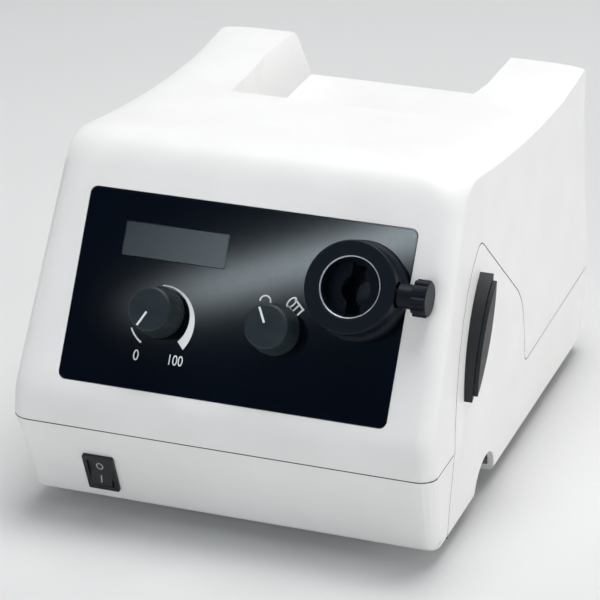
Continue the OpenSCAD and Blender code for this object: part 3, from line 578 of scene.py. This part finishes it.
def fin_seam_shade():
    """Painted shade in the seam round the side cover, from the underside over the fin and along the rear."""
    line = FIN_FOOT + [point for curve in FIN_CURVES for point in bezier(*curve)] + FIN_REAR
    outline = band(line, -SEAM_SHADE_HALF, SEAM_SHADE_HALF)
    mesh = solid("fin_seam_shade", outline, HALF_W - COVER_DEPTH, HALF_W)
    for vertex in mesh.vertices:
        outer = vertex.co.z > HALF_W - COVER_DEPTH / 2
        sink = SEAM_SHADE_INSET if outer else SEAM_SHADE_INSET + SEAM_SHADE_DEPTH
        vertex.co.z = side_x(vertex.co.y) - sink
    turn = Matrix(((0, 0, 1, 0), (1, 0, 0, 0), (0, 1, 0, 0), (0, 0, 0, 1)))
    piece("fin_seam_shade", mesh, "housing", SEAM_SHADE, body_zero @ turn)


# Black strips that paint the shade in the seams
main_seam_shade()
fin_seam_shade()

# ---- Prints ----

PRINT_SINK = 0.005
PRINT_LIFT = 0.04
CAP_HEIGHT = 0.7


def printed(name, outline, holes=()):
    """White print on the panel, from an outline on the face."""
    mesh = solid(name, outline, PRINT_SINK, PRINT_LIFT, holes)
    piece(name, mesh, "housing", WHITE_INK, on_face(0, 0))


def digits(name, text, middle, height, width):
    """Printed digits, their middle at a place on the face."""
    curve = bpy.data.curves.new(name, "FONT")
    curve.body = text
    curve.size = height / CAP_HEIGHT
    curve.align_x = "CENTER"
    curve.align_y = "CENTER"
    curve.extrude = PRINT_LIFT / 2
    carrier = in_scene(name + "_curve", curve)
    bpy.context.view_layer.update()
    mesh = bpy.data.meshes.new_from_object(carrier)
    bpy.data.objects.remove(carrier)
    mesh.transform(Matrix.Diagonal((width, 1, 1, 1)))
    mesh.materials.clear()
    piece(name, mesh, "housing", WHITE_INK, on_face(*middle, PRINT_LIFT / 2))


# Scale of the intensity knob: a band that widens to its end, and a line at its start
SCALE_MID = (-33.9, 59.2)
printed("intensity_scale", arc(SCALE_MID, (-6, 136), (13.2, 14.4), (0.5, 4.5), ease=1.8))
printed("intensity_scale_start", arc(SCALE_MID, (208, 240), (14.4, 14.2), (0.9, 0.7), 12))
digits("scale_low", "0", (-42.2, 40.0), 4.8, 0.85)
digits("scale_high", "100", (-23.6, 40.2), 4.6, 0.78)

# Diaphragm marks: an arch for the open aperture, and a lamp shade for the filter
SHADE_MID = (25.4, 73.4)
SHADE_TURN = 52
printed("open_mark", arc((13.3, 72.3), (-95, 100), (2.1, 2.1), (0.7, 0.7), 16))
printed("filter_mark", ellipse(SHADE_MID, 3.0, 1.7, SHADE_TURN),
        [ellipse(SHADE_MID, 2.3, 1.0, SHADE_TURN)])
for mark, start, end, width in (
    ("filter_mark_top", (26.8, 75.0), (31.6, 70.6), 0.8),
    ("filter_mark_end", (31.4, 71.2), (28.9, 68.2), 0.8),
    ("filter_mark_foot", (24.1, 71.6), (29.4, 66.6), 0.8),
    ("filter_mark_rib", (29.4, 73.2), (26.6, 69.6), 0.7),
):
    printed(mark, stroke(start, end, width))

# White lines in the knobs' grooves
POINTER_REACH = (1.6, 8.9)
POINTER_WIDTH = 0.95
POINTER_SINK = -0.35
POINTER_LIFT = 0.03
for mark, knob, angle, body in (
    ("intensity_pointer", DIAL, 152, "intensity_dial"),
    ("diaphragm_pointer", IRIS, 27, "diaphragm_dial"),
):
    way = Vector((-math.sin(math.radians(angle)), math.cos(math.radians(angle))))
    groove = stroke(way * POINTER_REACH[0], way * POINTER_REACH[1], POINTER_WIDTH)
    piece(mark, solid(mark, groove, POINTER_SINK, POINTER_LIFT), body, WHITE_INK,
          on_face(*knob, KNOB_TOP))

# ---- Trims of the port and the panel ----

# Bright ring on the chamfer of the port's mouth, as (r, z) from the bore and the mouth
RING = ((0.2, -0.79), (0.75, -0.31), (0.75, -0.6), (0.2, -1.05))
port_ring = lathe("port_edge", [(PORT_BORE + r, PORT_LEN + z) for r, z in RING])
piece("port_edge", port_ring, "housing", BRIGHT_EDGE, on_face(*PORT))

# Chamfered edge of the front panel
TRIM = 0.5
TRIM_SINK = -0.6
TRIM_LIFT = 0.06
trim_out = rounded(*PANEL_SIZE, PANEL_CORNER)
trim_in = rounded(PANEL_SIZE[0] - 2 * TRIM, PANEL_SIZE[1] - 2 * TRIM, PANEL_CORNER - TRIM)
piece("panel_edge", solid("panel_edge", trim_out, TRIM_SINK, TRIM_LIFT, [trim_in]), "housing",
      MATERIALS["panel_gloss"], on_face(*PANEL_MID))

# ---- Ring and line on the rocker's halves ----

ROCKER_TILT = math.radians(8)
ROCKER_LIFT = 1.8
OFF_AT, ON_AT = 3.8, 3.6
OFF_RING, OFF_HOLE = (1.7, 2.1), (1.15, 1.55)
ON_HALF, ON_WIDTH = 1.9, 0.6


def on_rocker(half, t):
    """Place on one half of the rocker, at rest: half is 1 for the upper one."""
    rest = rocker_pivot @ apron_turn @ Matrix.Rotation(-ROCKER_TILT, 4, "X")
    lift = Matrix.Translation((0, 0, ROCKER_LIFT * MM))
    tilt = Matrix.Rotation(half * ROCKER_TILT, 4, "X")
    return rest @ lift @ tilt @ Matrix.Translation((0, half * t * MM, 0))


off_ring = solid("off_mark", ellipse((0, 0), *OFF_RING), 0.0, PRINT_LIFT,
                 [ellipse((0, 0), *OFF_HOLE)])
on_line = solid("on_mark", stroke((0, -ON_HALF), (0, ON_HALF), ON_WIDTH), 0.0, PRINT_LIFT)
piece("off_mark", off_ring, "rocker", GREY_INK, on_rocker(1, OFF_AT))
piece("on_mark", on_line, "rocker", GREY_INK, on_rocker(-1, ON_AT))

# ---- Small metal parts ----

INLET_X = -60.0
INLET_Z = 29.0
PIN_GAP = 7.0
PIN_LIFT = 2.0
PIN_SIZE = (2.1, 4.1)
PIN_CORNER = 0.3
PIN_TOP = 254.02
PIN_END = 241.0
LAMP_NECK = -84.0
LEAD_X = 3.2
LEAD_FOOT = 7.0
LEAD_TOP = 17.5
COIL_HEIGHT = 19.0
COIL_RADIUS = 0.75
COIL_HALF = 2.6
COIL_TURNS = 9
COIL_STEPS = 12 * COIL_TURNS
WIRE_RADIUS = 0.16


def inlet_pins():
    """Nickel sleeves over the three pins of the mains inlet, the middle one higher."""
    for k in (-1, 0, 1):
        lift = PIN_LIFT if k == 0 else -PIN_LIFT
        mesh = solid("pin", rounded(*PIN_SIZE, PIN_CORNER, 2), -PIN_TOP, -PIN_END)
        pin_at = Vector((INLET_X + PIN_GAP * k, 0, INLET_Z + lift)) * MM
        place = body_zero @ Matrix.Translation(pin_at) @ Matrix.Rotation(math.pi / 2, 4, "X")
        piece("inlet_pin_" + str(k + 1), mesh, "housing", NICKEL, place)


def lamp_filament():
    """The coil inside the lamp capsule, on its two leads."""
    line = [(-LEAD_X, 0, LEAD_FOOT), (-LEAD_X, 0, LEAD_TOP),
            (-COIL_HALF, 0, COIL_HEIGHT - COIL_RADIUS)]
    for i in range(COIL_STEPS + 1):
        t = i / COIL_STEPS
        q = 2 * math.pi * COIL_TURNS * t
        line.append((COIL_HALF * (2 * t - 1), COIL_RADIUS * math.sin(q),
                     COIL_HEIGHT - COIL_RADIUS * math.cos(q)))
    line += [(LEAD_X, 0, LEAD_TOP), (LEAD_X, 0, LEAD_FOOT)]
    piece("lamp_filament", tube("lamp_filament", line, WIRE_RADIUS), "lamp_module", TUNGSTEN,
          on_face(*PORT, LAMP_NECK))


inlet_pins()
lamp_filament()

# ---- Studio, in metres ----

CAMERA_AT = Vector((0.44568, -1.2326, 0.6657))
CAMERA_YAW = -0.35469
CAMERA_PITCH = 0.42622
CAMERA_ROLL = -0.00725
FOCAL_PX = 3038.3
MIDDLE_PX = (300, 293)
SENSOR_MM = 36
CLIP_END = 20

# The floor's half width and ends, and the backdrop's bend and height
FLOOR_HALF = 4.0
FLOOR_NEAR = -4.0
FLOOR_FAR = 2.2
BACKDROP_BEND = 0.8
BACKDROP_TOP = 4.0
BEND_STEPS = 12
FLOOR_DARK = (0.665, 0.665, 0.66)
FLOOR_LIGHT = (0.68, 0.68, 0.675)
FAR_GLOW = 0.42
FAR_FROM = 1.4
FAR_TO = 2.0

# The room's colours, and where they pass into each other along y and z
WORLD_FRONT = (0.02, 0.045, 0.09)
WORLD_HORIZON = (0.62, 0.625, 0.62)
WORLD_BACK = (0.31, 0.314, 0.312)
FRONT_PASS = (-0.65, 0.1)
HORIZON_PASS = (0.08, 0.22)

# Name, place, target, size, watts, and whether it is seen in reflections
LIGHTS = (
    ("key_light", (0.12, 0.15, 1.6), (0, 0, 0.06), (0.9, 0.9), 21, True),
    ("side_light", (1.55, 0.05, 0.28), (0, 0, 0.08), (0.6, 0.4), 8.5, False),
    ("front_light", (-0.1, -1.6, 0.6), (0, 0, 0.08), (0.9, 0.9), 8.5, False),
)

# The strip stands where the camera sees the panel's reflection of it
PANEL_POINT = Vector((0, -0.1, 0.11))
PANEL_VIEW = Vector((-0.333, -0.7715, 0.5416))
STRIP_REACH = 1.5
STRIP_SHIFT = (-0.063, 0.068)
STRIP_SLOPE = (-0.823, 0.568)
STRIP_HALF = (0.23, 0.028)
STRIP_GLOW = 12.0
STRIP_COLOUR = (0.8, 0.93, 1.0, 1)
STRIP_KNEE = -0.36
STRIP_FULL = 0.3
KNEE_LEVEL = 0.7
FULL_GAIN = 1.43


def studio_camera():
    """The camera that was fitted to the photograph's edges."""
    ahead = Vector((math.sin(CAMERA_YAW) * math.cos(CAMERA_PITCH),
                    math.cos(CAMERA_YAW) * math.cos(CAMERA_PITCH), -math.sin(CAMERA_PITCH)))
    right = ahead.cross(UP).normalized()
    up = right.cross(ahead)
    c, s = math.cos(CAMERA_ROLL), math.sin(CAMERA_ROLL)
    right, up = right * c + up * s, up * c - right * s
    lens = bpy.data.cameras.new("camera")
    lens.sensor_width = SENSOR_MM
    lens.lens = FOCAL_PX / IMAGE * lens.sensor_width
    lens.shift_x = (IMAGE / 2 - MIDDLE_PX[0]) / IMAGE
    lens.shift_y = (MIDDLE_PX[1] - IMAGE / 2) / IMAGE
    lens.clip_end = CLIP_END
    camera = in_scene("camera", lens)
    camera.matrix_world = Matrix.Translation(CAMERA_AT) @ turned(right, up, -ahead)
    bpy.context.scene.camera = camera


def soft_light(name, at, target, size, watts, reflected):
    """A soft box at a place, turned to a target."""
    glow = bpy.data.lights.new(name, "AREA")
    glow.shape = "RECTANGLE"
    glow.size, glow.size_y = size
    glow.energy = watts
    lamp = in_scene(name, glow)
    lamp.location = at
    lamp.rotation_euler = (Vector(target) - Vector(at)).to_track_quat("-Z", "Y").to_euler()
    lamp.visible_camera = False
    lamp.visible_glossy = reflected


def studio_floor():
    """A pale floor that curves up into the backdrop, and glows faintly far away."""
    profile = [(FLOOR_NEAR, 0.0), (FLOOR_FAR, 0.0)]
    for i in range(1, BEND_STEPS + 1):
        q = math.radians(90 * i / BEND_STEPS)
        profile.append((FLOOR_FAR + BACKDROP_BEND * math.sin(q), BACKDROP_BEND * (1 - math.cos(q))))
    profile.append((FLOOR_FAR + BACKDROP_BEND, BACKDROP_TOP))
    bm = bmesh.new()
    rows = [[bm.verts.new((x, y, z)) for x in (-FLOOR_HALF, FLOOR_HALF)] for y, z in profile]
    for a, b in zip(rows, rows[1:]):
        bm.faces.new((a[0], a[1], b[1], b[0])).smooth = True
    mesh = as_mesh("floor", bm)
    floor = in_scene("floor", mesh)
    n = Finish("floor_paper")
    n.tint(n.ramp(n.noise(400.0, 1.0), 0.0, 1.0), FLOOR_DARK, FLOOR_LIGHT)
    n.set(Roughness=0.8, Emission_Color=(1, 1, 1, 1))
    axes = n.axes(n.place())
    farther = n.calc("MAXIMUM", n.calc("ABSOLUTE", axes["X"]), n.calc("ABSOLUTE", axes["Y"]))
    glow = n.ramp(farther, 0.0, FAR_GLOW, FAR_FROM, FAR_TO)
    n.link(glow, n.shader.inputs["Emission Strength"])
    mesh.materials.append(n.material)


def studio_world():
    """A pale room, dark high up at the front, where the glossy panel faces."""
    world = bpy.data.worlds.new("world")
    bpy.context.scene.world = world
    world.use_nodes = True
    n = Tree(world.node_tree)
    axes = n.axes(n.add("ShaderNodeTexCoord").outputs["Generated"])
    back = n.ramp(axes["Y"], 0.0, 1.0, *FRONT_PASS, "SMOOTHSTEP")
    low = n.ramp(axes["Z"], 1.0, 0.0, *HORIZON_PASS, "SMOOTHSTEP")
    room = n.mix(low, n.mix(back, WORLD_FRONT, WORLD_BACK), WORLD_HORIZON)
    n.link(room, n.tree.nodes["Background"].inputs["Color"])


def strip_glow():
    """Light that fades across the strip and grows along it."""
    w, h = STRIP_HALF
    n = Finish("strip_glow")
    n.tree.nodes.remove(n.shader)
    glow = n.add("ShaderNodeEmission", Color=STRIP_COLOUR)
    axes = n.axes(n.place())
    level = n.ramp(n.calc("ABSOLUTE", axes["Y"]), STRIP_GLOW, 0.0, 0.0, h, "SMOOTHSTEP")
    rise = n.ramp(axes["X"], 0.0, KNEE_LEVEL, -w, w * STRIP_KNEE, "SMOOTHSTEP")
    climb = n.ramp(axes["X"], 1.0, FULL_GAIN, w * STRIP_KNEE, w * STRIP_FULL)
    n.link(n.calc("MULTIPLY", n.calc("MULTIPLY", level, rise), climb), glow.inputs["Strength"])
    n.link(glow.outputs[0], n.tree.nodes["Material Output"].inputs["Surface"])
    return n.material


def strip_light():
    """A narrow soft box that draws the bright band across the panel."""
    view_right = PANEL_VIEW.cross(UP).normalized()
    view_up = view_right.cross(PANEL_VIEW)
    at = (PANEL_POINT + PANEL_VIEW * STRIP_REACH
          + view_right * STRIP_SHIFT[0] + view_up * STRIP_SHIFT[1])
    back = (at - PANEL_POINT).normalized()
    right = back.cross(UP).normalized()
    up = right.cross(back)
    along = (right * STRIP_SLOPE[0] + up * STRIP_SLOPE[1]).normalized()
    w, h = STRIP_HALF
    mesh = bpy.data.meshes.new("strip_light")
    mesh.from_pydata([(-w, -h, 0), (w, -h, 0), (w, h, 0), (-w, h, 0)], [], [(0, 1, 2, 3)])
    box = in_scene("strip_light", mesh)
    box.matrix_world = Matrix.Translation(at) @ turned(along, back.cross(along), back)
    box.visible_camera = False
    mesh.materials.append(strip_glow())


studio_camera()
studio_floor()
studio_world()
for light in LIGHTS:
    soft_light(*light)
strip_light()

bpy.context.scene.view_settings.view_transform = "Standard"
